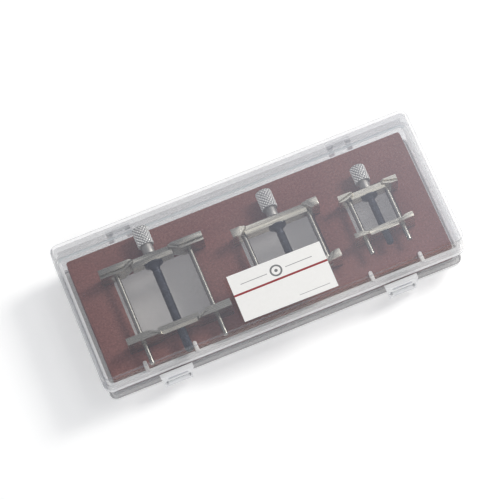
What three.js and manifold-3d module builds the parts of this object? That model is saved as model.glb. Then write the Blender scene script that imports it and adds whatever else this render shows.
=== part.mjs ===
// Boxed set of three screw-adjusted watch movement holders (large, medium,
// small) in a hinged two-latch polypropylene case with a cut-out foam insert.
// Units are millimetres, +Z up.  Origin: centre of the case's bottom face.
// +X runs along the long side of the case, +Y points to the hinge side.
import * as THREE from 'three';
import { mergeVertices } from 'three/addons/utils/BufferGeometryUtils.js';
import Module from 'manifold-3d';

const wasm = await Module();
wasm.setup();

// ---------------------------------------------------------------- case
const LID_HX = 90.0;            // half length of the lid, outside
const LID_HY = 37.3;            // half depth of the lid, outside
const LID_Z0 = 14.2;            // lower edge of the lid's skirt
const LID_Z1 = 29.0;            // top of the lid
const WALL = 1.5;               // wall of lid and base
const LID_R = 4.0;              // vertical corner radius
const LID_EDGE = 2.0;           // rounding of the lid's top edge
const BASE_HX = 88.2;
const BASE_HY = 35.5;
const BASE_Z1 = 16.7;           // rim of the base, inside the lid's skirt
const BASE_R = 3.2;
const BASE_EDGE = 1.0;          // rounding of the base's bottom edge
const FLOOR = 1.5;

// foam insert, lying in the base
const FOAM_HX = 84.5;
const FOAM_HY = 32.6;
const FOAM_Z0 = 1.8;
const FOAM_Z1 = 15.5;

// retaining tabs on the front rim of the base
const TAB_X = [-68.2, -43.5, 44.2, 69.0];
const TAB_W = 1.9;
const TAB_Y = -29.5;            // rounded tip

// rear snap hinge
const HINGE_Y = 39.1;
const HINGE_Z = 14.2;
const HINGE_X = [-56.0, 56.0];
const KNUCKLE_R = 1.5;
const PIN_R = 0.8;
const PIN_HOLE_R = 0.875;
const KNUCKLE_HALF = 3.0;       // half length of the lid's knuckle
const EAR_L = 2.6;              // length of each knuckle on the base
const KNUCKLE_GAP = 0.3;

// front snap latches
const LATCH_X = [-56.0, 56.0];
const LATCH_TOP_W = 16.2;
const LATCH_BOTTOM_W = 13.4;
const LATCH_AXIS_Y = -38.1;
const LATCH_AXIS_Z = 13.6;
const LATCH_FRONT = -39.8;

// label on the lid
const LABEL = { x: 4.0, y: -23.3, w: 46.2, d: 24.4, t: 0.25, gap: 0.1 };

// ---------------------------------------------------------------- holders
const FOOT_Z = 15.6;            // feet of the jaws, on the foam
const LUG_H = 10.8;             // height of the end lugs
const LIP_DROP = 1.0;           // gripping lip below the lug's top plate
const TROUGH_TOP = 8.3;         // middle of the bar, above the feet
const TROUGH_BOTTOM = 2.5;
const AXIS_Z = FOOT_Z + LUG_H / 2;
const ROD_R = 1.175;
const ROD_HOLE_R = 1.27;
const THREAD_PITCH = 0.75;      // one turn of the knob moves the jaw 0.75 mm

const HOLDERS = [
  {
    name: 'large', cx: -46.9, half: 25.75,
    fixedBack: 17.4, fixedT: 4.25, fixedPlate: 2.7,
    slideFront: -23.6, slideT: 4.1, slidePlate: 1.9,
    lug: [[13.9, 1.0], [8.6, 0.4]], plate: [[13.1, 1.0], [9.9, 0.22], [9.6, 0]],
    rods: [-65.1, -28.8], rodEnd: -34.4,
    screwR: 2.1, screwEnd: -34.9, flangeR: 4.45, journalR: 1.7, cone: 4.0,
    shankR: 2.95, shankL: 4.8, knobR: 3.95, knobL: 9.4,
  },
  {
    name: 'medium', cx: 13.15, half: 21.55,
    fixedBack: 12.1, fixedT: 4.2, fixedPlate: 4.1,
    slideFront: -20.95, slideT: 4.2, slidePlate: 4.1,
    lug: [[17.0, 1.0], [13.9, 0.2]], plate: [[18.4, 1.0], [15.6, 0.0]],
    rods: [-3.0, 28.8], rodEnd: -20.6,
    screwR: 1.95, screwEnd: -22.4, flangeR: 4.2, journalR: 1.6, cone: 3.6,
    shankR: 2.8, shankL: 4.6, knobR: 3.95, knobL: 9.4,
  },
  {
    name: 'small', cx: 58.25, half: 14.65,
    fixedBack: 7.7, fixedT: 3.0, fixedPlate: 2.6,
    slideFront: -15.6, slideT: 3.0, slidePlate: 2.6,
    lug: [[10.5, 1.0], [7.0, 0.53]], plate: [[7.4, 0.2], [7.2, 0.0]],
    rods: [48.5, 67.0], rodEnd: -23.85,
    screwR: 1.8, screwEnd: -22.2, flangeR: 3.9, journalR: 1.45, cone: 3.2,
    shankR: 2.6, shankL: 4.1, knobR: 3.75, knobL: 8.4,
  },
];

// ---------------------------------------------------------------- materials
const mat = (name, color, roughness, metalness, opacity = 1) => {
  const m = new THREE.MeshStandardMaterial({ color, roughness, metalness });
  m.name = name;
  if (opacity < 1) { m.transparent = true; m.opacity = opacity; }
  return m;
};
const frosted = () => mat('frosted_polypropylene', 0xd9dde0, 0.45, 0.0, 0.35);
const nickel = () => mat('nickel_plated_steel', 0xb9bab5, 0.25, 1.0);
const black = () => mat('blackened_steel', 0x15181c, 0.4, 0.6);
const foamMat = () => mat('brown_foam', 0x7a3b30, 0.95, 0.0);
const labelMat = () => mat('white_label', 0xf4f2ee, 0.6, 0.0);

// ---------------------------------------------------------------- helpers
function solid(geometry) {
  let g = geometry.clone();
  for (const a of ['normal', 'uv', 'color']) g.deleteAttribute(a);
  g = mergeVertices(g, 1e-4);
  const index = Array.from(g.index.array);
  const tri = [];
  for (let i = 0; i < index.length; i += 3) {
    const [a, b, c] = [index[i], index[i + 1], index[i + 2]];
    if (a !== b && b !== c && c !== a) tri.push(a, b, c);
  }
  return new wasm.Manifold(new wasm.Mesh({
    numProp: 3,
    vertProperties: new Float32Array(g.attributes.position.array),
    triVerts: new Uint32Array(tri),
  }));
}

const group = new THREE.Group();
group.name = 'movement_holder_set';

function put(name, body, material) {
  const m = body.getMesh();
  const g = new THREE.BufferGeometry();
  g.setAttribute('position', new THREE.BufferAttribute(new Float32Array(m.vertProperties), 3));
  g.setIndex(new THREE.BufferAttribute(new Uint32Array(m.triVerts), 1));
  g.computeVertexNormals();
  const mesh = new THREE.Mesh(g, material);
  mesh.name = name;
  group.add(mesh);
}

const box = (x0, x1, y0, y1, z0, z1) => solid(
  new THREE.BoxGeometry(x1 - x0, y1 - y0, z1 - z0)
    .translate((x0 + x1) / 2, (y0 + y1) / 2, (z0 + z1) / 2));

const cylX = (r, x0, x1, y, z, n = 24) => solid(
  new THREE.CylinderGeometry(r, r, x1 - x0, n).rotateZ(Math.PI / 2)
    .translate((x0 + x1) / 2, y, z));

const cylY = (r, x, y0, y1, z, n = 24) => solid(
  new THREE.CylinderGeometry(r, r, y1 - y0, n).translate(x, (y0 + y1) / 2, z));

function roundRect(hx, hy, r) {
  const s = new THREE.Shape();
  s.moveTo(-hx + r, -hy);
  s.lineTo(hx - r, -hy);
  s.absarc(hx - r, -hy + r, r, -Math.PI / 2, 0, false);
  s.lineTo(hx, hy - r);
  s.absarc(hx - r, hy - r, r, 0, Math.PI / 2, false);
  s.lineTo(-hx + r, hy);
  s.absarc(-hx + r, hy - r, r, Math.PI / 2, Math.PI, false);
  s.lineTo(-hx, -hy + r);
  s.absarc(-hx + r, -hy + r, r, Math.PI, 1.5 * Math.PI, false);
  return s;
}

// Upright block of rounded-rectangle plan; the top and bottom edges are
// rounded by `edge`, and the caller trims the end that stays square.
function slab(hx, hy, r, z0, z1, edge = 0, segs = 4) {
  const g = new THREE.ExtrudeGeometry(roundRect(hx, hy, r), {
    depth: z1 - z0 - 2 * edge,
    bevelEnabled: edge > 0,
    bevelThickness: edge,
    bevelSize: edge,
    bevelOffset: -edge,
    bevelSegments: segs,
    curveSegments: 6,
  });
  return solid(g.translate(0, 0, z0 + edge));
}

// Prism of a closed outline given as [a, b] pairs, extruded along one axis.
function prism(points, from, to, axis = 'z') {
  const shape = new THREE.Shape(points.map(([a, b]) => new THREE.Vector2(a, b)));
  const g = new THREE.ExtrudeGeometry(shape, { depth: to - from, bevelEnabled: false });
  g.translate(0, 0, from);
  if (axis === 'x') {
    // outline (y, z), extruded along x
    g.applyMatrix4(new THREE.Matrix4().set(0, 0, 1, 0, 1, 0, 0, 0, 0, 1, 0, 0, 0, 0, 0, 1));
  } else if (axis === 'y') {
    // outline (z, x), extruded along y
    g.applyMatrix4(new THREE.Matrix4().set(0, 1, 0, 0, 0, 0, 1, 0, 1, 0, 0, 0, 0, 0, 0, 1));
  }
  return solid(g);
}

// Solid of revolution about an axis parallel to Y; profile pairs are [r, y].
function latheY(profile, x, z, n = 32) {
  const pts = profile.map(([r, y]) => new THREE.Vector2(r, y));
  return solid(new THREE.LatheGeometry(pts, n).translate(x, 0, z));
}

const SPAN = 400;

// ---------------------------------------------------------------- case base
{
  let b = slab(BASE_HX, BASE_HY, BASE_R, 0, BASE_Z1 + 10, BASE_EDGE);
  b = b.intersect(box(-SPAN, SPAN, -SPAN, SPAN, -1, BASE_Z1));
  b = b.subtract(slab(BASE_HX - WALL, BASE_HY - WALL, BASE_R - WALL + 0.4, FLOOR, BASE_Z1 + 10, 0));
  // foam tabs on the front rim, with rounded tips
  for (const x of TAB_X) {
    const s = new THREE.Shape();
    const h = TAB_W / 2;
    s.moveTo(x - h, -BASE_HY + 0.4);
    s.lineTo(x + h, -BASE_HY + 0.4);
    s.lineTo(x + h, TAB_Y - h);
    s.absarc(x, TAB_Y - h, h, 0, Math.PI, false);
    s.lineTo(x - h, -BASE_HY + 0.4);
    const g = new THREE.ExtrudeGeometry(s, { depth: 1.4, bevelEnabled: false, curveSegments: 6 });
    b = b.add(solid(g.translate(0, 0, 16.0)));
  }
  // catch ledges for the latches
  for (const x of LATCH_X) {
    b = b.add(prism([[-BASE_HY + 0.5, 6.6], [-BASE_HY + 0.5, 9.4], [-BASE_HY, 9.4], [-BASE_HY - 0.9, 7.6], [-BASE_HY - 0.9, 6.6]], x - 5.0, x + 5.0, 'x'));
  }
  // hinge ears: an arm under the skirt and a knuckle with the pin hole
  for (const x of HINGE_X) {
    for (const s of [-1, 1]) {
      const xa = x + s * (KNUCKLE_HALF + KNUCKLE_GAP);
      const xb = xa + s * EAR_L;
      const [x0, x1] = [Math.min(xa, xb), Math.max(xa, xb)];
      let ear = box(x0, x1, BASE_HY - 0.5, HINGE_Y, HINGE_Z - KNUCKLE_R, HINGE_Z - 0.3)
        .add(prism([[BASE_HY - 0.5, HINGE_Z - 4.2], [BASE_HY - 0.5, HINGE_Z - 1.0], [HINGE_Y - 0.5, HINGE_Z - 1.0], [HINGE_Y - 0.5, HINGE_Z - 1.4]], x0, x1, 'x'))
        .add(cylX(KNUCKLE_R, x0, x1, HINGE_Y, HINGE_Z));
      ear = ear.subtract(cylX(PIN_HOLE_R, x0 - 1, x1 + 1, HINGE_Y, HINGE_Z, 32));
      b = b.add(ear);
    }
  }
  put('case_base', b, frosted());
}

// ---------------------------------------------------------------- case lid
{
  let l = slab(LID_HX, LID_HY, LID_R, LID_Z0 - 10, LID_Z1, LID_EDGE);
  l = l.intersect(box(-SPAN, SPAN, -SPAN, SPAN, LID_Z0, LID_Z1 + 1));
  const cavity = slab(LID_HX - WALL, LID_HY - WALL, LID_R - WALL, LID_Z0 - 10, LID_Z1 - WALL, 0.8, 2);
  l = l.subtract(cavity);
  // hinge knuckles with stub pins that snap into the ears
  for (const x of HINGE_X) {
    const x0 = x - KNUCKLE_HALF;
    const x1 = x + KNUCKLE_HALF;
    l = l.add(box(x0, x1, LID_HY - 0.5, HINGE_Y, LID_Z0, HINGE_Z + KNUCKLE_R))
      .add(cylX(KNUCKLE_R, x0, x1, HINGE_Y, HINGE_Z))
      .add(cylX(PIN_R, x0 - 2.6, x1 + 2.6, HINGE_Y, HINGE_Z, 32));
  }
  put('case_lid', l, frosted());
}

// ---------------------------------------------------------------- latches
LATCH_X.forEach((cx, i) => {
  const [ay, az] = [LATCH_AXIS_Y, LATCH_AXIS_Z];
  const profile = [
    [ay, az - 0.6], [ay + 0.42, az - 0.42], [ay + 0.6, az], [ay + 0.42, az + 0.42], [ay, az + 0.6],
    [-39.3, az + 0.6], [LATCH_FRONT, az + 0.1], [LATCH_FRONT, 5.2], [-40.3, 4.5],
    [-40.3, 3.6], [-39.9, 3.2], [-38.9, 3.2], [-38.2, 4.3], [-36.7, 4.8], [-36.7, 5.5], [ay, 6.6],
  ].reverse();
  const w = LATCH_TOP_W / 2;
  const wb = LATCH_BOTTOM_W / 2;
  let t = prism(profile, cx - w, cx + w, 'x');
  // tapered sides: outline in (z, x), extruded along y
  t = t.intersect(prism([[3.0, cx - wb], [3.0, cx + wb], [6.0, cx + wb + 0.15], [14.4, cx + w], [14.4, cx - w], [6.0, cx - wb - 0.15]], -45, -30, 'y'));
  // finger recess across the upper face
  t = t.subtract(box(cx - 5.8, cx + 5.8, LATCH_FRONT - 1, LATCH_FRONT + 0.6, 10.2, 12.0));
  put(i === 0 ? 'latch_left' : 'latch_right', t, frosted());
});

// ---------------------------------------------------------------- foam
{
  let f = slab(FOAM_HX, FOAM_HY, 2.0, FOAM_Z0, FOAM_Z1, 0);
  const windows = [
    [-67.3, -28.6, -18.0, 20.8],
    [-5.3, 31.2, -16.0, 15.8],
    [46.5, 69.2, -11.0, 12.0],
  ];
  for (const [x0, x1, y0, y1] of windows) {
    const hx = (x1 - x0) / 2;
    const hy = (y1 - y0) / 2;
    const g = new THREE.ExtrudeGeometry(roundRect(hx, hy, 1.2), { depth: 30, bevelEnabled: false, curveSegments: 4 });
    f = f.subtract(solid(g.translate((x0 + x1) / 2, (y0 + y1) / 2, -5)));
  }
  put('foam_insert', f, foamMat());
}

// ---------------------------------------------------------------- label
put('label_card', box(LABEL.x - LABEL.w / 2, LABEL.x + LABEL.w / 2,
  LABEL.y - LABEL.d / 2, LABEL.y + LABEL.d / 2,
  LID_Z1 + LABEL.gap, LID_Z1 + LABEL.gap + LABEL.t), labelMat());

// ---------------------------------------------------------------- jaws
// A jaw is a bar with a full-height lug at each end and a lower middle.  `v`
// runs from the outer face (v = 0) toward the opposite jaw (v = T); `u` is the
// distance from the holder's centre line.  Each lug has a top plate along the
// outer face and, LIP_DROP lower, a gripping lip whose inner end is cut
// slanting so that it is tangent to a round movement.  The underside repeats
// the top, so the holder works either way up.
function jaw(h, outerY, dir, T, P, bores) {
  const y = (v) => outerY + dir * v;
  const side = (pts, s) => {
    const q = pts.map(([u, v]) => [h.cx + s * u, y(v)]);
    const area = q.reduce((a, p, i) => {
      const n = q[(i + 1) % q.length];
      return a + p[0] * n[1] - n[0] * p[1];
    }, 0);
    return area < 0 ? q.reverse() : q;
  };
  const inner = h.lug[1][0];
  const lug = [[h.half, 0], [h.half, T], [h.lug[0][0], T], [inner, h.lug[1][1] * T], [inner, 0]];
  const plate = [[h.half, 0], [h.half, P], ...h.plate.map(([u, f]) => [u, f * P])];
  const zT = FOOT_Z + LUG_H;
  // middle of the bar, with its front upper edge bevelled
  const yf = Math.min(y(0), y(T));
  const yb = Math.max(y(0), y(T));
  const ym = yf + 0.42 * T;
  const [m0, m1] = [FOOT_Z + TROUGH_BOTTOM, FOOT_Z + TROUGH_TOP];
  let b = prism([[yf, m0], [yb, m0], [yb, m1], [ym, m1], [yf, m1 - 0.45]], h.cx - inner - 1, h.cx + inner + 1, 'x');
  for (const s of [-1, 1]) {
    b = b.add(prism(side(lug, s), FOOT_Z + LIP_DROP, zT - LIP_DROP));
    b = b.add(prism(side(plate, s), FOOT_Z, zT));
  }
  for (const [x, r, n] of bores) b = b.subtract(cylY(r, x, yf - 1, yb + 1, AXIS_Z, n));
  return b;
}

for (const h of HOLDERS) {
  const fixedFront = h.fixedBack - h.fixedT;
  const rodHoles = h.rods.map((x) => [x, ROD_HOLE_R, 24]);
  put(`${h.name}_fixed_jaw`, jaw(h, h.fixedBack, -1, h.fixedT, h.fixedPlate,
    [...rodHoles, [h.cx, h.journalR + 0.09, 32]]), nickel());
  put(`${h.name}_sliding_jaw`, jaw(h, h.slideFront, 1, h.slideT, h.slidePlate,
    [...rodHoles, [h.cx, h.screwR + 0.09, 32]]), nickel());
  h.rods.forEach((x, i) => {
    const y0 = h.rodEnd;
    const y1 = h.fixedBack - 0.3;
    put(`${h.name}_guide_rod_${i === 0 ? 'left' : 'right'}`,
      latheY([[0, y0], [ROD_R - 0.3, y0], [ROD_R, y0 + 0.3], [ROD_R, y1], [0, y1]], x, AXIS_Z, 24), nickel());
  });
  // lead screw: threaded shank, thrust flange in front of the fixed jaw, and
  // the journal that passes through the jaw into the knob
  const fl = fixedFront - 0.3;
  const kb = h.fixedBack + 0.3;
  const jEnd = kb + h.shankL + 2.6;
  put(`${h.name}_lead_screw`, latheY([
    [0, h.screwEnd], [h.screwR - 0.5, h.screwEnd], [h.screwR, h.screwEnd + 0.5],
    [h.screwR, fl - h.cone], [h.flangeR - 0.35, fl - 0.75], [h.flangeR, fl - 0.6],
    [h.flangeR, fl], [h.journalR, fl], [h.journalR, jEnd], [0, jEnd],
  ], h.cx, AXIS_Z), black());
  // knob: smooth shank, then the knurled head, bored for the journal
  const bore = h.journalR + 0.3;
  const k1 = kb + h.shankL;
  const k2 = k1 + h.knobL;
  put(`${h.name}_knob`, latheY([
    [0, jEnd + 0.3], [bore, jEnd + 0.3], [bore, kb], [h.shankR - 0.2, kb], [h.shankR, kb + 0.2],
    [h.shankR, k1], [h.knobR - 0.45, k1], [h.knobR, k1 + 0.45],
    [h.knobR, k2 - 0.5], [h.knobR - 0.5, k2], [0, k2],
  ], h.cx, AXIS_Z), nickel());
}

export default group;
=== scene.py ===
import math

import bmesh
import bpy
from mathutils import Matrix, Vector


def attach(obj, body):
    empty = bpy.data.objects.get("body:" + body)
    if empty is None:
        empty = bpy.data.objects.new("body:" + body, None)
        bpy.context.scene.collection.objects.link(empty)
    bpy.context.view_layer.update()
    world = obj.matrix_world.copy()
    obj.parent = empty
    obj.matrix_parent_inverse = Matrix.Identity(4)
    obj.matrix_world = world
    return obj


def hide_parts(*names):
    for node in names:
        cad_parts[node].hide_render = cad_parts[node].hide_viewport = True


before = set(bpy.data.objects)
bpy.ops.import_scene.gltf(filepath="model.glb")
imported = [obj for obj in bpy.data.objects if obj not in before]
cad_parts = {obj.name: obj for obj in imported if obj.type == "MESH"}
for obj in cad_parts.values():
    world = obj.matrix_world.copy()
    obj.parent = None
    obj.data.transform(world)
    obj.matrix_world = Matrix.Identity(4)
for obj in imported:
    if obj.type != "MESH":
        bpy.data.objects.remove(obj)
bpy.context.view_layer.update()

MM = 0.001          # meshes are built in millimetres and scaled once at the end
scene = bpy.context.scene

# ------------------------------------------------------------------ dimensions
LID_HX, LID_HY, LID_Z0, LID_Z1, WALL = 90.0, 37.3, 14.2, 29.0, 1.5
BASE_HX, BASE_HY, BASE_Z1, FLOOR = 88.2, 35.5, 16.7, 1.5
FOAM = (84.5, 32.6, 1.8, 15.5)
TAB_X = (-68.2, -43.5, 44.2, 69.0)
HINGE_Y, HINGE_Z, KNUCKLE_R, PIN_R = 39.1, 14.2, 1.5, 0.8
LATCH_X = (-56.0, 56.0)
LATCH_Y, LATCH_Z = -38.1, 13.6
FOOT_Z, LUG_H, LIP_DROP = 15.6, 10.8, 1.0
TROUGH_BOTTOM, TROUGH_TOP = 2.5, 8.3
AXIS_Z = FOOT_Z + LUG_H / 2
ROD_R = 1.175
PITCH = 0.75
LABEL = dict(x=4.0, y=-23.3, w=46.2, d=24.4)

HOLDERS = [
    dict(name="large", cx=-46.9, half=25.75, fixedBack=17.4, fixedT=4.25, fixedPlate=2.7,
         slideFront=-23.6, slideT=4.1, slidePlate=1.9,
         lug=((13.9, 1.0), (8.6, 0.4)), plate=((13.1, 1.0), (9.9, 0.22), (9.6, 0.0)),
         rods=(-65.1, -28.8), rodEnd=-34.4, screwR=2.1, screwEnd=-34.9, flangeR=4.45,
         journalR=1.7, cone=4.0, shankR=2.95, shankL=4.8, knobR=3.95, knobL=9.4),
    dict(name="medium", cx=13.15, half=21.55, fixedBack=12.1, fixedT=4.2, fixedPlate=4.1,
         slideFront=-20.95, slideT=4.2, slidePlate=4.1,
         lug=((17.0, 1.0), (13.9, 0.2)), plate=((18.4, 1.0), (15.6, 0.0)),
         rods=(-3.0, 28.8), rodEnd=-20.6, screwR=1.95, screwEnd=-22.4, flangeR=4.2,
         journalR=1.6, cone=3.6, shankR=2.8, shankL=4.6, knobR=3.95, knobL=9.4),
    dict(name="small", cx=58.25, half=14.65, fixedBack=7.7, fixedT=3.0, fixedPlate=2.6,
         slideFront=-15.6, slideT=3.0, slidePlate=2.6,
         lug=((10.5, 1.0), (7.0, 0.53)), plate=((7.4, 0.2), (7.2, 0.0)),
         rods=(48.5, 67.0), rodEnd=-23.85, screwR=1.8, screwEnd=-22.2, flangeR=3.9,
         journalR=1.45, cone=3.2, shankR=2.6, shankL=4.1, knobR=3.75, knobL=8.4),
]

# ------------------------------------------------------------------ node helpers
def material(name):
    m = bpy.data.materials.new(name)
    m.use_nodes = True
    nt = m.node_tree
    bsdf = nt.nodes["Principled BSDF"]
    return m, nt, bsdf


def node(nt, kind, **values):
    n = nt.nodes.new(kind)
    for k, v in values.items():
        if k in n.inputs.keys():
            n.inputs[k].default_value = v
        else:
            setattr(n, k, v)
    return n


def coords(nt, scale=(1, 1, 1), loc=(0, 0, 0), rot=(0, 0, 0)):
    tc = nt.nodes.new("ShaderNodeTexCoord")
    mp = nt.nodes.new("ShaderNodeMapping")
    mp.inputs["Scale"].default_value = scale
    mp.inputs["Location"].default_value = loc
    mp.inputs["Rotation"].default_value = rot
    nt.links.new(tc.outputs["Object"], mp.inputs["Vector"])
    return mp.outputs["Vector"]


def noise(nt, vec, scale, detail=4.0, rough=0.55):
    n = nt.nodes.new("ShaderNodeTexNoise")
    n.inputs["Scale"].default_value = scale
    n.inputs["Detail"].default_value = detail
    n.inputs["Roughness"].default_value = rough
    nt.links.new(vec, n.inputs["Vector"])
    return n.outputs["Fac"]


def remap(nt, fac, lo_, hi_, a=0.3, b=0.7):
    n = nt.nodes.new("ShaderNodeMapRange")
    n.inputs["From Min"].default_value = a
    n.inputs["From Max"].default_value = b
    n.inputs["To Min"].default_value = lo_
    n.inputs["To Max"].default_value = hi_
    nt.links.new(fac, n.inputs["Value"])
    return n.outputs["Result"]


def ramp(nt, fac, stops):
    n = nt.nodes.new("ShaderNodeValToRGB")
    els = n.color_ramp.elements
    while len(els) < len(stops):
        els.new(0.5)
    for e, (p, c) in zip(els, stops):
        e.position = p
        e.color = (*c, 1.0)
    nt.links.new(fac, n.inputs["Fac"])
    return n.outputs["Color"]


def mix_rgb(nt, fac, a, b):
    n = nt.nodes.new("ShaderNodeMix")
    n.data_type = "RGBA"
    ins = {i.identifier: i for i in n.inputs}
    for key, v in (("Factor_Float", fac), ("A_Color", a), ("B_Color", b)):
        if hasattr(v, "is_linked"):
            nt.links.new(v, ins[key])
        else:
            ins[key].default_value = v if key == "Factor_Float" else (*v, 1.0)
    outs = {o.identifier: o for o in n.outputs}
    return outs["Result_Color"]


def math_node(nt, op, a, b=None, clamp=False):
    n = nt.nodes.new("ShaderNodeMath")
    n.operation = op
    n.use_clamp = clamp
    for i, v in enumerate((a, b)):
        if v is None:
            continue
        if hasattr(v, "is_linked"):
            nt.links.new(v, n.inputs[i])
        else:
            n.inputs[i].default_value = v
    return n.outputs[0]


def bump(nt, bsdf, height, strength, dist):
    n = nt.nodes.new("ShaderNodeBump")
    n.inputs["Strength"].default_value = strength
    n.inputs["Distance"].default_value = dist
    nt.links.new(height, n.inputs["Height"])
    nt.links.new(n.outputs["Normal"], bsdf.inputs["Normal"])


# ------------------------------------------------------------------ materials
def frosted(name, haze, tint_a, tint_b, rough=0.22, slope=(0.0, 0.0)):
    """Translucent polypropylene. `haze` is the milky share of one surface; it varies a little in clouds
    and, with `slope`, along the case in X and Y: that slope is painted light and shade across the case."""
    m, nt, p = material(name)
    v = coords(nt)
    cloud = noise(nt, v, 38, 3)
    fine = noise(nt, v, 1900, 2)
    nt.links.new(mix_rgb(nt, remap(nt, cloud, 0, 1), tint_a, tint_b), p.inputs["Base Color"])
    nt.links.new(remap(nt, fine, rough + 0.04, rough + 0.09), p.inputs["Roughness"])
    p.inputs["IOR"].default_value = 1.49
    bump(nt, p, fine, 0.02, 0.00002)
    share = remap(nt, cloud, haze * 0.96, haze * 1.04)
    # painted light and shade: the slope makes the veil paler or darker along the case
    if slope[0] or slope[1]:
        sep = nt.nodes.new("ShaderNodeSeparateXYZ")
        nt.links.new(v, sep.inputs[0])
        share = math_node(nt, "ADD", share, math_node(nt, "MULTIPLY", sep.outputs["X"], slope[0] / 0.09))
        share = math_node(nt, "ADD", share, math_node(nt, "MULTIPLY", sep.outputs["Y"], slope[1] / 0.037), clamp=True)
    nt.links.new(share, p.inputs["Alpha"])
    return m


MAT = {}
# painted sheen: the veil on the lid top grows toward the right-hand end and the back
MAT["lid_top"] = frosted("lid_top_frosted_painted_sheen", 0.090, (0.69, 0.72, 0.84), (0.76, 0.78, 0.87), 0.26, (0.034, 0.008))
MAT["lid_wall"] = frosted("lid_wall_frosted", 0.10, (0.78, 0.80, 0.83), (0.86, 0.87, 0.88))
MAT["lid_edge"] = frosted("lid_edge_frosted", 0.075, (0.80, 0.82, 0.85), (0.90, 0.90, 0.92))
# painted highlight: a bright white line along the lid's lower edge
MAT["lid_line"] = frosted("lid_line_frosted_painted_highlight", 0.54, (0.90, 0.90, 0.90), (0.96, 0.96, 0.95))
MAT["lid_dark"] = frosted("lid_shade_frosted", 0.34, (0.36, 0.38, 0.44), (0.44, 0.46, 0.50))
# painted light: the front of the lid's lower band is made near-white
MAT["lid_skirt"] = frosted("lid_skirt_frosted_painted_light", 0.66, (0.93, 0.93, 0.94), (0.98, 0.97, 0.97))
# painted shade: the back wall and the lower band of the sides and back are dark grey
MAT["lid_back"] = frosted("lid_back_frosted_painted_shade", 0.34, (0.27, 0.285, 0.29), (0.32, 0.33, 0.335))
# painted shade: the lid's left wall is dark blue-grey
MAT["lid_left"] = frosted("lid_left_frosted_painted_shade", 0.50, (0.19, 0.20, 0.26), (0.24, 0.25, 0.30))
MAT["pin"] = frosted("hinge_pin_frosted_painted_glow", 1.0, (0.90, 0.90, 0.91), (0.94, 0.94, 0.95))
# painted light: the lid's right wall is whiter and clearer
MAT["lid_right"] = frosted("lid_right_frosted_painted_light", 0.20, (0.96, 0.95, 0.95), (0.99, 0.98, 0.97))
# painted shade: the top rounding along the back is darkened
MAT["lid_back_edge"] = frosted("lid_back_edge_frosted_painted_shade", 0.12, (0.34, 0.35, 0.355), (0.40, 0.41, 0.41))
# painted light: the tray's outer end walls, left and right, are made pale
MAT["base_left"] = frosted("base_end_walls_frosted_painted_light", 0.46, (0.88, 0.88, 0.88), (0.94, 0.93, 0.93))
# painted light: the lower front wall of the lid is made near-white
MAT["lid_front"] = frosted("lid_front_frosted_painted_light", 0.30, (0.94, 0.94, 0.95), (0.98, 0.97, 0.97))
# painted shade: the rim along the back is darkened teal-grey
MAT["rim_back"] = frosted("base_rim_back_frosted_painted_shade", 0.78, (0.62, 0.66, 0.68), (0.70, 0.74, 0.75))
# painted shade: the tray walls are greyed blue, and their veil grows toward the left-hand end
MAT["base_wall"] = frosted("base_wall_frosted_painted_shade", 0.25, (0.46, 0.475, 0.515), (0.53, 0.54, 0.57), 0.22, (-0.05, 0.0))
# painted shade: the tray's floor is darkened grey-brown, as the shade under the case falls on it
MAT["base_floor"] = frosted("base_floor_frosted_painted_shade", 0.34, (0.34, 0.325, 0.305), (0.39, 0.375, 0.35))
MAT["base_rim"] = frosted("base_rim_frosted", 0.78, (0.86, 0.86, 0.87), (0.94, 0.93, 0.92))
# painted highlight: a bright line along the tray's bottom rounding
MAT["base_line"] = frosted("base_line_frosted_painted_highlight", 0.80, (0.92, 0.92, 0.91), (0.98, 0.98, 0.97))
MAT["base_dark"] = frosted("base_shade_frosted", 0.70, (0.20, 0.20, 0.21), (0.28, 0.28, 0.29))
MAT["hinge"] = frosted("hinge_frosted_painted_glow", 1.0, (0.88, 0.89, 0.90), (0.93, 0.93, 0.94))
MAT["tab"] = frosted("foam_tab_frosted", 0.80, (0.90, 0.87, 0.85), (0.95, 0.92, 0.90))
MAT["latch"] = frosted("latch_frosted", 0.80, (0.95, 0.95, 0.96), (0.99, 0.99, 0.99), 0.22)
# painted shade: the floor of the latch slot is greyed
MAT["latch_shade"] = frosted("latch_slot_frosted_painted_shade", 0.74, (0.64, 0.66, 0.71), (0.72, 0.74, 0.78), 0.22)
# painted shade: the latch's groove and end notches are dark grey
MAT["latch_dark"] = frosted("latch_groove_frosted_painted_shade", 0.80, (0.30, 0.31, 0.34), (0.38, 0.39, 0.42), 0.22)
# painted shade: the front face of the latch's lower lip is slightly greyed
MAT["latch_lip"] = frosted("latch_lip_frosted_painted_shade", 0.74, (0.90, 0.91, 0.93), (0.96, 0.96, 0.97), 0.22)

for key_ in ("hinge", "pin"):
    # painted glow: a faint white emission keeps the hinge's shaded side pale, standing in for light soaking through the
    # solid plastic
    glow = MAT[key_].node_tree.nodes["Principled BSDF"]
    glow.inputs["Emission Color"].default_value = (1.0, 1.0, 1.0, 1.0)
    glow.inputs["Emission Strength"].default_value = 0.13


def metal(name, base, dark, rough, streak, brushed=True, metallic=1.0):
    """Nickel plate: long fine grinding marks along X or Y, faint tarnish clouds."""
    m, nt, p = material(name)
    v = coords(nt, scale=streak)
    marks = noise(nt, v, 1.0, 5, 0.6)
    cloud = noise(nt, coords(nt), 160, 4)
    tint = mix_rgb(nt, remap(nt, cloud, 0.0, 1.0), base, dark)
    nt.links.new(tint, p.inputs["Base Color"])
    r = math_node(nt, "ADD", remap(nt, marks, rough[0], rough[1]), remap(nt, cloud, -0.02, 0.02))
    nt.links.new(r, p.inputs["Roughness"])
    p.inputs["Metallic"].default_value = metallic
    if brushed:
        bump(nt, p, marks, 0.04, 0.00001)
    return m


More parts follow.
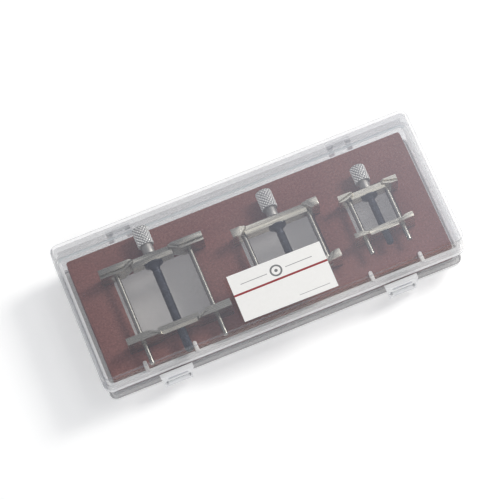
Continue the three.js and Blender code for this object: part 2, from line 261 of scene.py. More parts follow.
MAT["bar"] = metal("nickel_bar_ground", (0.45, 0.43, 0.38), (0.39, 0.375, 0.335), (0.22, 0.34), (70, 6000, 6000))
# partly a brighter plate and partly painted light: the medium and small holders' bars are made lighter than the large
# one's
MAT["bar_bright"] = metal("nickel_bar_bright_plate_and_painted_light", (0.70, 0.66, 0.57), (0.62, 0.585, 0.505), (0.20, 0.32), (70, 6000, 6000))
# painted highlight: a near-cream nickel for the sloping front strip of the medium and small bars
MAT["bar_bevel"] = metal("nickel_bar_bevel_painted_highlight", (0.93, 0.885, 0.76), (0.86, 0.82, 0.70), (0.22, 0.32), (70, 6000, 6000))
MAT["rod"] = metal("nickel_rod_bright", (0.39, 0.375, 0.335), (0.34, 0.325, 0.295), (0.24, 0.30), (2000, 40, 2000))
# painted highlight: the knurl crests are near-white and partly matt, so they stay bright as if catching light
MAT["knob"] = metal("nickel_knob_crest_painted_highlight", (1.0, 0.985, 0.95), (0.96, 0.945, 0.91), (0.16, 0.26), (2500, 2500, 2500), True, 0.40)
# painted shade: the knurl grooves are dark grey
MAT["knob_groove"] = metal("nickel_knob_groove_painted_shade", (0.36, 0.36, 0.36), (0.27, 0.27, 0.275), (0.30, 0.42), (2500, 2500, 2500), True, 0.5)
MAT["shank"] = metal("nickel_shank_turned", (0.46, 0.445, 0.42), (0.35, 0.34, 0.325), (0.46, 0.58), (2500, 300, 2500))


def black_oxide(name, dark, light, rough, metallic):
    m, nt, p = material(name)
    v = coords(nt)
    cloud = noise(nt, v, 300, 4)
    nt.links.new(mix_rgb(nt, remap(nt, cloud, 0, 1), dark, light), p.inputs["Base Color"])
    nt.links.new(remap(nt, cloud, *rough), p.inputs["Roughness"])
    p.inputs["Metallic"].default_value = metallic
    bump(nt, p, noise(nt, v, 2600, 3), 0.15, 0.00003)
    return m


MAT["screw"] = black_oxide("black_oxide_screw", (0.002, 0.004, 0.012), (0.006, 0.010, 0.024), (0.34, 0.48), 0.20)
# painted highlight: the thread crests are lighter than the near-black roots
MAT["screw_crest"] = black_oxide("oxide_crest_painted_highlight", (0.035, 0.042, 0.062), (0.070, 0.080, 0.108), (0.20, 0.32), 0.5)


def foam_material():
    m, nt, p = material("brown_cell_foam")
    v = coords(nt)
    broad = noise(nt, v, 30, 3)
    grain = noise(nt, v, 900, 4, 0.7)
    vor = nt.nodes.new("ShaderNodeTexVoronoi")
    vor.inputs["Scale"].default_value = 1500
    nt.links.new(v, vor.inputs["Vector"])
    cells = vor.outputs["Distance"]
    col = ramp(nt, grain, [(0.30, (0.135, 0.048, 0.040)), (0.52, (0.222, 0.083, 0.067)), (0.75, (0.31, 0.132, 0.106))])
    col = mix_rgb(nt, remap(nt, broad, 0.0, 0.35), col, (0.18, 0.064, 0.058))
    nt.links.new(col, p.inputs["Base Color"])
    nt.links.new(remap(nt, cells, 0.85, 1.0, 0.0, 0.6), p.inputs["Roughness"])
    p.inputs["Specular IOR Level"].default_value = 0.2
    p.inputs["Sheen Weight"].default_value = 0.15
    p.inputs["Sheen Roughness"].default_value = 0.6
    h = math_node(nt, "ADD", grain, math_node(nt, "MULTIPLY", cells, 0.6))
    bump(nt, p, h, 0.5, 0.00022)
    return m


MAT["foam"] = foam_material()


def label_material():
    m, nt, p = material("label_card_print")
    # label coordinates in millimetres from its centre
    tc = nt.nodes.new("ShaderNodeTexCoord")
    sep = nt.nodes.new("ShaderNodeSeparateXYZ")
    nt.links.new(tc.outputs["Object"], sep.inputs["Vector"])
    u = math_node(nt, "SUBTRACT", math_node(nt, "MULTIPLY", sep.outputs["X"], 1000.0), LABEL["x"])
    w = math_node(nt, "SUBTRACT", math_node(nt, "MULTIPLY", sep.outputs["Y"], 1000.0), LABEL["y"])

    def band(value, centre, half, soft=0.06):
        d = math_node(nt, "ABSOLUTE", math_node(nt, "SUBTRACT", value, centre))
        n = nt.nodes.new("ShaderNodeMapRange")
        n.inputs["From Min"].default_value = half + soft
        n.inputs["From Max"].default_value = half - soft
        nt.links.new(d, n.inputs["Value"])
        return n.outputs["Result"]

    paper_n = noise(nt, coords(nt), 700, 3)
    paper = mix_rgb(nt, remap(nt, paper_n, 0, 1), (0.955, 0.945, 0.925), (0.985, 0.975, 0.955))
    # a plain double rule across the whole card
    rule = band(w, 1.75, 0.52)
    split = band(w, 1.75, 0.07, 0.05)
    red = mix_rgb(nt, split, (0.30, 0.020, 0.028), (0.42, 0.10, 0.10))
    col = mix_rgb(nt, rule, paper, red)
    # a plain ring above the rule, in neutral grey
    du = math_node(nt, "SUBTRACT", u, -0.6)
    dw = math_node(nt, "SUBTRACT", w, 6.3)
    r = math_node(nt, "SQRT", math_node(nt, "ADD", math_node(nt, "MULTIPLY", du, du), math_node(nt, "MULTIPLY", dw, dw)))
    ring = band(r, 2.55, 0.42)
    dot = band(r, 0.0, 0.8)
    mark = math_node(nt, "MAXIMUM", ring, dot)
    col = mix_rgb(nt, mark, col, (0.20, 0.205, 0.21))
    # two short hairlines level with the ring, and one near the lower edge
    side = math_node(nt, "MULTIPLY", band(w, 6.3, 0.16), math_node(nt, "MAXIMUM", band(u, -11.6, 6.6), band(u, 10.6, 6.6)))
    foot = math_node(nt, "MULTIPLY", band(w, -9.6, 0.12), band(u, 12.4, 7.6))
    col = mix_rgb(nt, math_node(nt, "MAXIMUM", side, foot), col, (0.26, 0.26, 0.27))
    nt.links.new(col, p.inputs["Base Color"])
    nt.links.new(remap(nt, paper_n, 0.42, 0.55), p.inputs["Roughness"])
    bump(nt, p, paper_n, 0.08, 0.00003)
    return m


MAT["label"] = label_material()

# ------------------------------------------------------------------ mesh helpers
def mesh_object(name, verts, faces):
    me = bpy.data.meshes.new(name)
    me.from_pydata([tuple(v) for v in verts], [], [tuple(f) for f in faces])
    me.update()
    ob = bpy.data.objects.new(name, me)
    scene.collection.objects.link(ob)
    bm = bmesh.new()
    bm.from_mesh(me)
    bmesh.ops.recalc_face_normals(bm, faces=bm.faces)
    bm.to_mesh(me)
    bm.free()
    return ob


def apply_modifiers(ob):
    bpy.context.view_layer.update()
    dg = bpy.context.evaluated_depsgraph_get()
    me = bpy.data.meshes.new_from_object(ob.evaluated_get(dg))
    old = ob.data
    ob.modifiers.clear()
    ob.data = me
    bpy.data.meshes.remove(old)
    return ob


def boolean(ob, other, op):
    mod = ob.modifiers.new("b", "BOOLEAN")
    mod.operation = op
    mod.solver = "EXACT"
    mod.object = other
    apply_modifiers(ob)
    me = other.data
    bpy.data.objects.remove(other)
    bpy.data.meshes.remove(me)
    return ob


def bevel(ob, width, segments=2, angle=28):
    mod = ob.modifiers.new("v", "BEVEL")
    mod.width = width
    mod.segments = segments
    mod.limit_method = "ANGLE"
    mod.angle_limit = math.radians(angle)
    mod.use_clamp_overlap = True
    mod.miter_outer = "MITER_ARC"
    return apply_modifiers(ob)


def prism(name, outline, a0, a1, axis="z"):
    """Closed prism of a 2-D outline. axis z: (x, y); x: (y, z); y: (x, z)."""
    def put(p, a):
        if axis == "z":
            return (p[0], p[1], a)
        if axis == "x":
            return (a, p[0], p[1])
        return (p[0], a, p[1])
    n = len(outline)
    verts = [put(p, a0) for p in outline] + [put(p, a1) for p in outline]
    faces = [tuple(range(n - 1, -1, -1)), tuple(range(n, 2 * n))]
    faces += [(i, (i + 1) % n, n + (i + 1) % n, n + i) for i in range(n)]
    return mesh_object(name, verts, faces)


def ring_rect(hx, hy, r, z, n=10):
    pts = []
    for cx, cy, a0 in ((hx - r, hy - r, 0), (-hx + r, hy - r, 90), (-hx + r, -hy + r, 180), (hx - r, -hy + r, 270)):
        for i in range(n + 1):
            a = math.radians(a0 + 90 * i / n)
            pts.append((cx + r * math.cos(a), cy + r * math.sin(a), z))
    return pts


def loft(name, rings, cap=True):
    n = len(rings[0])
    verts = [p for r in rings for p in r]
    faces = []
    for k in range(len(rings) - 1):
        for i in range(n):
            j = (i + 1) % n
            faces.append((k * n + i, k * n + j, (k + 1) * n + j, (k + 1) * n + i))
    if cap:
        faces.append(tuple(range(n)))
        faces.append(tuple((len(rings) - 1) * n + i for i in range(n)))
    return mesh_object(name, verts, faces)


def lathe(name, stations, cx, cz=AXIS_Z, n=64, radius=None):
    """Body of revolution about a line along Y. stations are (radius, y); both
    ends on the axis. radius(i, theta, r, y) may shape each ring."""
    rings = []
    verts = []
    for k, (r, y) in enumerate(stations):
        if r <= 1e-6:
            rings.append([len(verts)])
            verts.append((cx, y, cz))
            continue
        ids = []
        for i in range(n):
            t = 2 * math.pi * i / n
            rr = radius(k, t, r, y) if radius else r
            ids.append(len(verts))
            verts.append((cx + rr * math.cos(t), y, cz + rr * math.sin(t)))
        rings.append(ids)
    faces = []
    for a, b in zip(rings, rings[1:]):
        if len(a) == 1 and len(b) == 1:
            continue
        for i in range(n):
            j = (i + 1) % n
            if len(a) == 1:
                faces.append((a[0], b[j], b[i]))
            elif len(b) == 1:
                faces.append((a[i], a[j], b[0]))
            else:
                faces.append((a[i], a[j], b[j], b[i]))
    return mesh_object(name, verts, faces)


def tube_between(name, r, p, q, n=28):
    """Plain cylinder used as a cutter or a knuckle blank."""
    p, q = Vector(p), Vector(q)
    d = (q - p).normalized()
    a = d.orthogonal().normalized()
    b = d.cross(a)
    verts = []
    for c in (p, q):
        for i in range(n):
            t = 2 * math.pi * i / n
            verts.append(tuple(c + a * (r * math.cos(t)) + b * (r * math.sin(t))))
    faces = [tuple(range(n)), tuple(range(2 * n - 1, n - 1, -1))]
    faces += [(i, (i + 1) % n, n + (i + 1) % n, n + i) for i in range(n)]
    return mesh_object(name, verts, faces)


def finish_piece(ob, body, mats, pick=None, angle=32, replaces=()):
    me = ob.data
    bm = bmesh.new()
    bm.from_mesh(me)
    bmesh.ops.remove_doubles(bm, verts=bm.verts, dist=2e-4)
    bmesh.ops.dissolve_degenerate(bm, edges=bm.edges, dist=1e-4)
    loose = [v for v in bm.verts if not v.link_faces]
    bmesh.ops.delete(bm, geom=loose, context="VERTS")
    bmesh.ops.recalc_face_normals(bm, faces=bm.faces)
    bm.to_mesh(me)
    bm.free()
    me.materials.clear()
    for key in mats:
        me.materials.append(MAT[key])
    if pick:
        for f in me.polygons:
            f.material_index = pick(f.center, f.normal)
    me.transform(Matrix.Scale(MM, 4))
    me.shade_smooth()
    me.set_sharp_from_angle(angle=math.radians(angle))
    me.update()
    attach(ob, body)
    if replaces:
        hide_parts(*replaces)
    return ob


# ------------------------------------------------------------------ case lid
def arc(n):
    return [math.radians(90 * i / n) for i in range(n + 1)]


def build_lid():
    E = 2.0
    rings = []
    for t in reversed(arc(8)):                       # top edge, from the flat top outward and down
        rings.append(ring_rect(LID_HX - E + E * math.cos(t), LID_HY - E + E * math.cos(t),
                               4.0 - E + E * math.cos(t), LID_Z1 - E + E * math.sin(t)))
    for z in (24.0, 20.0, 17.0, 14.45):
        rings.append(ring_rect(LID_HX, LID_HY, 4.0, z))
    rings.append(ring_rect(LID_HX - 0.25, LID_HY - 0.25, 3.75, LID_Z0))
    ix, iy, ir = LID_HX - WALL, LID_HY - WALL, 2.5
    rings.append(ring_rect(ix + 0.2, iy + 0.2, ir + 0.2, LID_Z0))
    rings.append(ring_rect(ix, iy, ir, 14.5))
    for z in (18.0, 22.0):
        rings.append(ring_rect(ix, iy, ir, z))
    e = 0.9
    zt = LID_Z1 - WALL
    for t in arc(5):
        rings.append(ring_rect(ix - e + e * math.cos(t), iy - e + e * math.cos(t),
                               ir - e + e * math.cos(t), zt - e + e * math.sin(t)))
    ob = loft("lid_shell", rings)
    # rear knuckles with stub pins
    for x in LATCH_X:
        k = tube_between("k", KNUCKLE_R, (x - 3, HINGE_Y, HINGE_Z), (x + 3, HINGE_Y, HINGE_Z))
        boolean(ob, k, "UNION")
        web = prism("w", [(LID_HY - 0.4, LID_Z0), (HINGE_Y, LID_Z0 - 0.6), (HINGE_Y + 0.2, HINGE_Z + 1.45),
                          (LID_HY - 0.4, HINGE_Z + 1.6)], x - 2.9, x + 2.9, "x")
        boolean(ob, web, "UNION")
        pin = tube_between("p", PIN_R, (x - 5.6, HINGE_Y, HINGE_Z), (x + 5.6, HINGE_Y, HINGE_Z))
        boolean(ob, pin, "UNION")

    def pick(c, n):
        if n.z > 0.85 and c.z > 28.9:
            return 0
        if n.z < -0.85 and c.z > 27.3:
            return 0
        # hinge knuckles and pins, which carry a painted glow
        if c.y > LID_HY + 0.02:
            near = math.hypot(c.y - HINGE_Y, c.z - HINGE_Z) < PIN_R + 0.04 and min(abs(abs(c.x - x) - 4.3) for x in LATCH_X) < 1.5
            return 9 if near else 3
        # painted highlight on the lid's lower edge
        if c.z < LID_Z0 + 0.3:
            return 4
        # painted light on the front of the lower band, painted shade on its sides and back
        if c.z < 17.0:
            return 6 if c.y < -30 else 7
        # painted shade on the lower back wall
        if c.y > 35.7 and c.z < 22.5:
            return 7
        # painted shade on the left wall
        if c.x < -LID_HX + WALL + 0.1 and c.z < 27.0:
            return 8
        # painted light on the right wall
        if c.x > LID_HX - WALL - 0.1 and c.z < 27.0:
            return 12
        if c.z > 26.3:
            if n.z > 0.3 and (abs(c.z - 28.4) < 0.16 or (c.x < -88.2 and c.z > 28.2)):
                return 5
            # painted shade on the back rounding
            return 11 if c.y > 35.6 else 2
        # painted light on the lower front wall
        return 10 if c.y < -36 and c.z < 22 else 1
    finish_piece(ob, "lid", ("lid_top", "lid_wall", "lid_edge", "hinge", "lid_line", "lid_dark", "lid_skirt", "lid_back", "lid_left", "pin", "lid_front", "lid_back_edge", "lid_right"), pick, 40, ("case_lid",))


# ------------------------------------------------------------------ case base
def build_base():
    rings = []
    E = 1.0
    for t in reversed(arc(5)):
        c = E * math.cos(t)
        rings.append(ring_rect(BASE_HX - E + c, BASE_HY - E + c, 3.2 - E + c, E - E * math.sin(t)))
    for z in (1.5, 6.0, 11.0, 16.45):
        rings.append(ring_rect(BASE_HX, BASE_HY, 3.2, z))
    rings.append(ring_rect(BASE_HX - 0.25, BASE_HY - 0.25, 2.95, BASE_Z1))
    ix, iy, ir = BASE_HX - WALL, BASE_HY - WALL, 2.1
    rings.append(ring_rect(ix + 0.25, iy + 0.25, ir + 0.25, BASE_Z1))
    rings.append(ring_rect(ix, iy, ir, 16.45))
    for z in (11.0, 6.0):
        rings.append(ring_rect(ix, iy, ir, z))
    e = 0.8
    for t in arc(4):
        c = e * math.cos(t)
        rings.append(ring_rect(ix - e + c, iy - e + c, ir - e + c, FLOOR + e - e * math.sin(t)))
    ob = loft("base_tray", rings)
    for x in TAB_X:
        h = 0.95
        out = [(x - h, -BASE_HY + 0.5), (x + h, -BASE_HY + 0.5), (x + h, -30.45)]
        out += [(x + h * math.cos(math.radians(a)), -30.45 + h * math.sin(math.radians(a))) for a in range(15, 180, 15)]
        out += [(x - h, -30.45)]
        tab = prism("t", out, 16.0, 17.4)
        bevel(tab, 0.3, 3, 40)
        boolean(ob, tab, "UNION")
    for x in LATCH_X:
        ledge = prism("c", [(-BASE_HY + 0.5, 6.6), (-BASE_HY + 0.5, 9.4), (-BASE_HY, 9.4), (-BASE_HY - 0.9, 7.6),
                            (-BASE_HY - 0.9, 6.6)], x - 5, x + 5, "x")
        boolean(ob, ledge, "UNION")
        for s in (-1, 1):
            a, b = sorted((x + s * 3.3, x + s * 5.9))
            ear = prism("e", [(BASE_HY - 0.5, 10.1), (BASE_HY + 0.5, 10.9), (HINGE_Y - 0.7, 12.9), (HINGE_Y, 12.75),
                              (HINGE_Y, 13.9), (BASE_HY - 0.5, 13.9)], a, b, "x")
            k = tube_between("k", KNUCKLE_R, (a, HINGE_Y, HINGE_Z), (b, HINGE_Y, HINGE_Z))
            boolean(ear, k, "UNION")
            boolean(ear, tube_between("h", 0.88, (a - 1, HINGE_Y, HINGE_Z), (b + 1, HINGE_Y, HINGE_Z)), "DIFFERENCE")
            boolean(ob, ear, "UNION")

    def pick(c, n):
        if c.z > 15.9 and c.y > -34.2 and c.y < -29.0 and min(abs(c.x - t) for t in TAB_X) < 1.1:
            return 3
        # hinge ears, which carry a painted glow
        if c.y > BASE_HY + 0.02:
            return 4
        if c.z > 16.4:
            # painted shade on the back of the rim
            return 7 if c.y > 33 else 2
        outer = abs(c.x) > BASE_HX - 1.2 or abs(c.y) > BASE_HY - 1.2
        # painted light on the outer end walls
        if abs(c.x) > BASE_HX - 0.1 and 1.4 < c.z < 16.4:
            return 8
        if outer and c.z < 0.45:
            return 6
        # painted highlight on the bottom rounding
        if outer and c.z < 1.4 and abs(n.z) < 0.8:
            return 5
        # painted shade on the tray floor
        if c.z < 1.6 and abs(n.z) > 0.7:
            return 1
        # painted shade on the tray walls
        return 0
    finish_piece(ob, "base", ("base_wall", "base_floor", "base_rim", "tab", "hinge", "base_line", "base_dark", "rim_back", "base_left"), pick, 40, ("case_base",))


# ------------------------------------------------------------------ latches
def build_latch(cx, name):
    az = LATCH_Z
    # side outline (y, z), hinge roll at the top, lower finger lip, inner bead
    out = [(LATCH_Y, az - 0.6), (LATCH_Y + 0.42, az - 0.42), (LATCH_Y + 0.6, az), (LATCH_Y + 0.42, az + 0.42),
           (LATCH_Y, az + 0.6), (-39.2, az + 0.6), (-39.65, az + 0.35), (-39.8, az - 0.1), (-39.8, 7.8),
           (-40.25, 7.3), (-40.3, 3.75), (-39.9, 3.25), (-38.9, 3.2), (-38.2, 4.3), (-36.75, 4.8), (-36.75, 5.5),
           (LATCH_Y, 6.6)]
    half = lambda z: 6.7 + (8.1 - 6.7) * max(0.0, min(1.0, (z - 5.6) / 7.6)) ** 1.3
    stations = (-1.0, -0.72, 0.72, 1.0)
    rings = [[(cx + s * half(z), y, z) for y, z in out] for s in stations]
    ob = loft(name, rings)
    # long slot across the upper face
    slot = prism("s", [(cx - 4.9, 10.0), (cx + 4.9, 10.0), (cx + 4.9, 11.9), (cx - 4.9, 11.9)], -41, -39.25, "y")
    bevel(slot, 0.35, 3, 40)
    boolean(ob, slot, "DIFFERENCE")
    # short notches at both ends of the lip's upper edge
    for s in (-1, 1):
        a, b = sorted((cx + s * 5.2, cx + s * 6.05))
        boolean(ob, prism("n", [(a, 6.1), (b, 6.1), (b, 8.6), (a, 8.6)], -41, -39.45, "y"), "DIFFERENCE")
    # groove between plate and lip
    boolean(ob, prism("g", [(-41, 7.85), (-39.5, 7.85), (-39.5, 8.15), (-41, 8.15)], cx - 5.4, cx + 5.4, "x"), "DIFFERENCE")
    bevel(ob, 0.14, 2, 30)

    def pick(c, n):
        u = abs(c.x - cx)
        # painted shade in the slot
        if c.y > -39.6 and n.y < -0.7 and 9.9 < c.z < 12.0 and u < 5.0:
            return 1
        # painted shade in the end notches and in the groove below
        if c.y > -39.72 and c.y < -39.3 and 6.0 < c.z < 8.7 and 5.1 < u < 6.2:
            return 2
        if -39.72 < c.y < -39.3 and 7.8 < c.z < 8.2 and u < 5.4:
            return 2
        # painted shade on the lip's front face
        if c.z < 7.6 and n.y < -0.5 and c.y < -39.0:
            return 3
        return 0
    finish_piece(ob, name, ("latch", "latch_shade", "latch_dark", "latch_lip"), pick, 35, (name,))


# ------------------------------------------------------------------ foam
def build_foam():
    hx, hy, z0, z1 = FOAM
    ob = loft("foam_sheet", [ring_rect(hx, hy, 1.2, z0, 4), ring_rect(hx, hy, 1.2, z1, 4)])
    for x0, x1, y0, y1 in ((-67.3, -28.6, -18.0, 20.8), (-5.3, 31.2, -16.0, 15.8), (46.5, 69.2, -11.0, 12.0)):
        cut = [(px + (x0 + x1) / 2, py + (y0 + y1) / 2) for px, py, _ in ring_rect((x1 - x0) / 2, (y1 - y0) / 2, 1.0, 0, 3)]
        boolean(ob, prism("f", cut, -5, 30), "DIFFERENCE")
    bevel(ob, 0.35, 3, 40)
    finish_piece(ob, "base", ("foam",), None, 40, ("foam_insert",))


# ------------------------------------------------------------------ label
def build_label():
    cx, cy, w, d = LABEL["x"], LABEL["y"], LABEL["w"] / 2, LABEL["d"] / 2
    a = math.radians(-0.5)
    nx, ny = 24, 12
    verts, faces = [], []
    for side in (0, 1):
        for j in range(ny + 1):
            for i in range(nx + 1):
                x = -w + 2 * w * i / nx
                y = -d + 2 * d * j / ny
                # the card lies flat with its corners a hair proud
                lift = 0.05 * (abs(x) / w) ** 6 * (abs(y) / d) ** 6
                z = LID_Z1 + 0.03 + (0.16 if side else 0.0) + lift
                verts.append((cx + x * math.cos(a) - y * math.sin(a), cy + x * math.sin(a) + y * math.cos(a), z))
    per = (nx + 1) * (ny + 1)
    for side in (0, 1):
        for j in range(ny):
            for i in range(nx):
                q = [side * per + j * (nx + 1) + i, side * per + j * (nx + 1) + i + 1,
                     side * per + (j + 1) * (nx + 1) + i + 1, side * per + (j + 1) * (nx + 1) + i]
                faces.append(q if side else q[::-1])
    rim = [i for i in range(nx + 1)] + [j * (nx + 1) + nx for j in range(1, ny + 1)]
    rim += [ny * (nx + 1) + i for i in range(nx - 1, -1, -1)] + [j * (nx + 1) for j in range(ny - 1, 0, -1)]
    for a_, b_ in zip(rim, rim[1:] + rim[:1]):
        faces.append((a_, b_, per + b_, per + a_))
    ob = mesh_object("label_print", verts, faces)
    finish_piece(ob, "lid", ("label",), None, 30, ("label_card",))


# ------------------------------------------------------------------ jaws
def build_jaw(h, which):
    if which == "fixed":
        outer, d, T, P, body = h["fixedBack"], -1, h["fixedT"], h["fixedPlate"], "base"
    else:
        outer, d, T, P, body = h["slideFront"], 1, h["slideT"], h["slidePlate"], h["name"] + "_slider"
    cx, half = h["cx"], h["half"]
    y = lambda v: outer + d * v
    inner = h["lug"][1][0]
    lug = [(half, 0), (half, T), (h["lug"][0][0], T), (inner, h["lug"][1][1] * T), (inner, 0)]
    plate = [(half, 0), (half, P)] + [(u, f * P) for u, f in h["plate"]]
    zT = FOOT_Z + LUG_H
    yf, yb = sorted((y(0), y(T)))
    ym = yf + 0.42 * T
    m0, m1 = FOOT_Z + TROUGH_BOTTOM, FOOT_Z + TROUGH_TOP
    name = f"{h['name']}_{which}_bar"
    ob = prism(name, [(yf, m0), (yb, m0), (yb, m1), (ym, m1), (yf, m1 - 0.45)], cx - inner - 1.5, cx + inner + 1.5, "x")
    for s in (-1, 1):
        for pts, z0, z1, fall, run in ((lug, FOOT_Z + LIP_DROP, zT - LIP_DROP, 1.5, 0.75), (plate, FOOT_Z, zT, LIP_DROP, 1.15)):
            near = lambda u: u < half - 0.5
            rings = [[(cx + s * (u + (run if near(u) and k in (0, 3) else 0.0)), y(v), z) for u, v in pts]
                     for k, z in enumerate((z0, z0 + fall, z1 - fall, z1))]
            boolean(ob, loft("q", rings), "UNION")
        # fine groove at the foot of the step, along the plate's edge
        edge = [(u, f * P) for u, f in h["plate"] if f > 0.0]
        path = [(half + 1, P if P < T - 0.3 else None)]
        if P < T - 0.3:
            path = [(half + 1, P)] + edge
            g = 0.34
            strip = [(u, v - 0.03) for u, v in path] + [(u, v + g) for u, v in reversed(path)]
            boolean(ob, prism("g", [(cx + s * u, y(v)) for u, v in strip], zT - LIP_DROP - 0.32, zT + 1), "DIFFERENCE")
    holes = [(x, ROD_R + 0.06) for x in h["rods"]]
    holes.append((cx, h["journalR"] + 0.08 if which == "fixed" else h["screwR"] + 0.06))
    for x, r in holes:
        boolean(ob, tube_between("h", r, (x, yf - 1, AXIS_Z), (x, yb + 1, AXIS_Z), 40), "DIFFERENCE")
    bevel(ob, 0.13, 2, 25)

    def pick(c, n):
        # painted highlight: the sloping front strip between the lugs is painted brighter, standing in for the light it
        # reflects
        strip = n.z > 0.9 and 0.1 < abs(n.y) < 0.45 and yf < c.y < ym and abs(c.x - cx) < inner + 2.0
        return 1 if strip and c.z > FOOT_Z + LUG_H / 2 and h["name"] != "large" else 0
    # the medium and small holders take the brighter plate, which is partly painted light
    finish_piece(ob, body, ("bar", "bar_bevel") if h["name"] == "large" else ("bar_bright", "bar_bevel"), pick, 30, (f"{h['name']}_{'fixed' if which == 'fixed' else 'sliding'}_jaw",))


# ------------------------------------------------------------------ rods
def build_rod(h, i):
    x = h["rods"][i]
    y0, y1 = h["rodEnd"], h["fixedBack"] - 0.3
    r = ROD_R
    st = [(0, y0), (r - 0.45, y0), (r - 0.3, y0 + 0.03), (r - 0.12, y0 + 0.12), (r - 0.03, y0 + 0.25), (r, y0 + 0.4)]
    steps = 16
    st += [(r, y0 + 0.4 + (y1 - y0 - 0.7) * k / steps) for k in range(1, steps + 1)]
    st += [(r - 0.1, y1 - 0.08), (r - 0.3, y1), (0, y1)]
    side = ("left", "right")[i]
    ob = lathe(f"{h['name']}_rod_{side}", st, x, n=48)
    finish_piece(ob, "base", ("rod",), None, 40, (f"{h['name']}_guide_rod_{side}",))


# ------------------------------------------------------------------ screws
def build_screw(h):
    front = h["fixedBack"] - h["fixedT"]
    fl = front - 0.3
    kb = h["fixedBack"] + 0.3
    jend = kb + h["shankL"] + 2.6
    R, y0 = h["screwR"], h["screwEnd"]
    depth = 0.34
    y1 = fl - h["cone"] - 0.6
    st = [(0, y0), (R - 0.75, y0)]
    n = int((y1 - y0 - 0.35) / (PITCH / 8))
    ys = [y0 + 0.35 + (y1 - y0 - 0.35) * k / n for k in range(n + 1)]
    st += [(R, v) for v in ys]
    first, last = 2, 2 + n
    # plain neck, then the hollow-sided flange
    st += [(R - 0.22, y1 + 0.15), (R - 0.22, y1 + 0.6)]
    c0, c1 = y1 + 0.6, fl - 0.9
    for k in range(1, 11):
        t = k / 10
        st.append((R - 0.22 + (h["flangeR"] - 0.55 - R + 0.22) * (t ** 2.1), c0 + (c1 - c0) * t))
    F = h["flangeR"]
    st += [(F - 0.18, fl - 0.86), (F - 0.05, fl - 0.74), (F, fl - 0.6), (F, fl - 0.16), (F - 0.05, fl - 0.05),
           (F - 0.16, fl), (h["journalR"], fl), (h["journalR"], jend), (0, jend)]

    def shape(k, t, r, y):
        if k < first or k > last:
            return r
        ph = (y - y0) / PITCH - t / (2 * math.pi)
        tri = abs(2 * (ph - math.floor(ph)) - 1)          # 1 at crest, 0 at root
        tri = min(1.0, tri * 1.18)
        a = min(1.0, (y - y0 - 0.35) / 0.9, (y1 - y) / 0.9 + 0.0)
        a = max(0.0, a)
        lead = 0.40 * (1 - min(1.0, (y - y0 - 0.35) / 0.55))
        return r - depth * a * (1 - tri) - lead
    ob = lathe(f"{h['name']}_screw_thread", st, h["cx"], n=44, radius=shape)

    def pick(c, n):
        d = math.hypot(c.x - h["cx"], c.z - AXIS_Z)
        # painted highlight on the thread crests
        return 1 if y0 + 0.6 < c.y < y1 and d > R - depth * 0.38 else 0
    finish_piece(ob, f"{h['name']}_screw", ("screw", "screw_crest"), pick, 50, (f"{h['name']}_lead_screw",))


# ------------------------------------------------------------------ knobs
def build_knob(h):
    kb = h["fixedBack"] + 0.3
    k1 = kb + h["shankL"]
    k2 = k1 + h["knobL"]
    bore = h["journalR"] + 0.12
    jend = kb + h["shankL"] + 2.6
    sr, R = h["shankR"], h["knobR"]
    st = [(0, jend + 0.3), (bore, jend + 0.3), (bore, kb), (sr - 0.3, kb), (sr - 0.08, kb + 0.08), (sr, kb + 0.3),
          (sr, kb + 1.6), (sr, k1 - 1.2), (sr - 0.12, k1 - 0.35), (sr - 0.12, k1), (R - 0.45, k1), (R - 0.3, k1 + 0.05)]
    knurl0 = len(st)
    rows = 80
    for k in range(rows + 1):
        st.append((R, k1 + 0.12 + (h["knobL"] - 0.32) * k / rows))
    knurl1 = len(st) - 1
    st += [(R - 0.16, k2 - 0.1), (R - 0.3, k2), (R * 0.55, k2 + 0.0), (R * 0.5, k2 - 0.12), (0, k2 - 0.12)]
    N = 14
    pa = 1.70
    depth = 0.60
    ya, yb = st[knurl0][1], st[knurl1][1]

    def shape(k, t, r, y):
        if k < knurl0 or k > knurl1:
            return r
        a = N * t / (2 * math.pi)
        p1, p2 = a + y / pa, a - y / pa
        h1 = abs(2 * (p1 - math.floor(p1)) - 1)
        h2 = abs(2 * (p2 - math.floor(p2)) - 1)
        v = min(1.0, min(h1, h2) * 1.5)
        cham = 0.22 * max(0.0, 1 - (y - ya) / 0.3) + 0.14 * max(0.0, 1 - (yb - y) / 0.2)
        return r - depth * (1 - v) - cham * v
    ob = lathe(f"{h['name']}_knurled_knob", st, h["cx"], n=192, radius=shape)

    def pick(c, n):
        d = math.hypot(c.x - h["cx"], c.z - AXIS_Z)
        # knurl crests take the painted highlight, grooves the painted shade
        if ya < c.y < yb and bore + 0.5 < d:
            return 1 if d < R - depth * 0.55 else 0
        return 2
    finish_piece(ob, f"{h['name']}_screw", ("knob", "knob_groove", "shank"), pick, 24, (f"{h['name']}_knob",))


build_lid()
build_base()
build_latch(LATCH_X[0], "latch_left")
build_latch(LATCH_X[1], "latch_right")
build_foam()
build_label()
for H in HOLDERS:
    build_jaw(H, "fixed")
    build_jaw(H, "sliding")
    build_rod(H, 0)
    build_rod(H, 1)
    build_screw(H)
    build_knob(H)

# ------------------------------------------------------------------ stage
me = bpy.data.meshes.new("floor_sheet")
me.from_pydata([(-3, -3, 0), (3, -3, 0), (3, 3, 0), (-3, 3, 0)], [], [(0, 1, 2, 3)])
floor = bpy.data.objects.new("floor_sheet", me)
scene.collection.objects.link(floor)
m, nt, p = material("floor_white")
n_ = noise(nt, coords(nt), 3, 2)
nt.links.new(mix_rgb(nt, n_, (0.93, 0.93, 0.93), (0.95, 0.95, 0.95)), p.inputs["Base Color"])
p.inputs["Roughness"].default_value = 0.9
p.inputs["Specular IOR Level"].default_value = 0.0
p.inputs["Emission Color"].default_value = (1.0, 1.0, 1.0, 1.0)
p.inputs["Emission Strength"].default_value = 0.29
me.materials.append(m)
floor.location.z = -0.0002

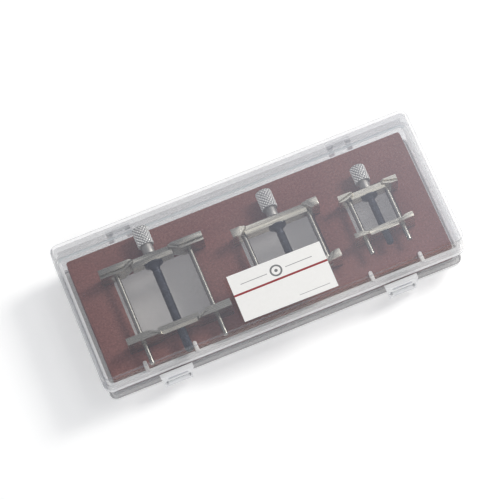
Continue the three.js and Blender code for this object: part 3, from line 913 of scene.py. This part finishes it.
world = bpy.data.worlds.new("studio")
world.use_nodes = True
wt = world.node_tree
bg = wt.nodes["Background"]
wc = wt.nodes.new("ShaderNodeTexCoord")
ws = wt.nodes.new("ShaderNodeSeparateXYZ")
wt.links.new(wc.outputs["Generated"], ws.inputs[0])
wr = wt.nodes.new("ShaderNodeValToRGB")
stops = [(0.0, (0.55, 0.56, 0.58)), (0.25, (0.75, 0.76, 0.78)), (0.55, (0.50, 0.51, 0.53)), (0.80, (0.36, 0.37, 0.39)), (1.0, (0.42, 0.43, 0.45))]
while len(wr.color_ramp.elements) < len(stops):
    wr.color_ramp.elements.new(0.5)
for e_, (p_, c_) in zip(wr.color_ramp.elements, stops):
    e_.position = p_
    e_.color = (*c_, 1.0)
wt.links.new(ws.outputs["Z"], wr.inputs[0])
wx = wt.nodes.new("ShaderNodeMapRange")
wx.inputs["From Min"].default_value = -0.8
wx.inputs["From Max"].default_value = 0.8
wx.inputs["To Min"].default_value = 0.55
wx.inputs["To Max"].default_value = 1.15
wt.links.new(ws.outputs["X"], wx.inputs["Value"])
wt.links.new(wr.outputs[0], bg.inputs["Color"])
wm = wt.nodes.new("ShaderNodeMath")
wm.operation = "MULTIPLY"
wm.inputs[1].default_value = 0.90
wt.links.new(wx.outputs["Result"], wm.inputs[0])
wt.links.new(wm.outputs[0], bg.inputs["Strength"])
scene.world = world


def area(name, at, target, size, power, color=(1, 1, 1), shape="RECTANGLE", size_y=None):
    d = bpy.data.lights.new(name, "AREA")
    d.shape = shape
    d.size = size
    d.size_y = size_y or size
    d.energy = power
    d.color = color
    o = bpy.data.objects.new(name, d)
    o.location = at
    o.rotation_euler = (Vector(target) - Vector(at)).to_track_quat("-Z", "Y").to_euler()
    scene.collection.objects.link(o)
    return o


area("key", (0.84, 0.20, 0.84), (0.0, 0.0, 0.0), 0.34, 7.8, (1.0, 0.98, 0.94))
area("softbox", (0.25, 0.27, 0.58), (0.06, 0.02, 0.0), 0.36, 0.26, (0.96, 0.98, 1.0), size_y=0.30)
area("overhead", (0.10, -0.12, 1.20), (0.0, 0.0, 0.0), 0.45, 0.35, (1.0, 0.97, 0.90))
area("front_fill", (-0.25, -1.05, 1.15), (0.0, 0.0, 0.0), 0.8, 2.9, (0.98, 0.99, 1.0))

scene.view_settings.view_transform = "Standard"
scene.view_settings.look = "None"
scene.view_settings.exposure = 0.0
scene.view_settings.gamma = 1.0

# ------------------------------------------------------------------ camera
cam = bpy.data.cameras.new("camera")
cam.sensor_fit = "HORIZONTAL"
cam.sensor_width = 36.0
cam.lens = 3326.0 * 36.0 / 500.0
cam.clip_start = 0.05
cam.clip_end = 20.0
co = bpy.data.objects.new("camera", cam)
scene.collection.objects.link(co)
right = Vector((0.9270576, -0.3645817, -0.0874325))
down = Vector((-0.3667448, -0.8334108, -0.4134305))
fwd = Vector((0.0778620, 0.4153393, -0.9063282))
rot = Matrix((right, -down, -fwd)).transposed().to_4x4()
co.matrix_world = Matrix.Translation(Vector((-0.123554, -0.641218, 1.422874))) @ rot
scene.camera = co
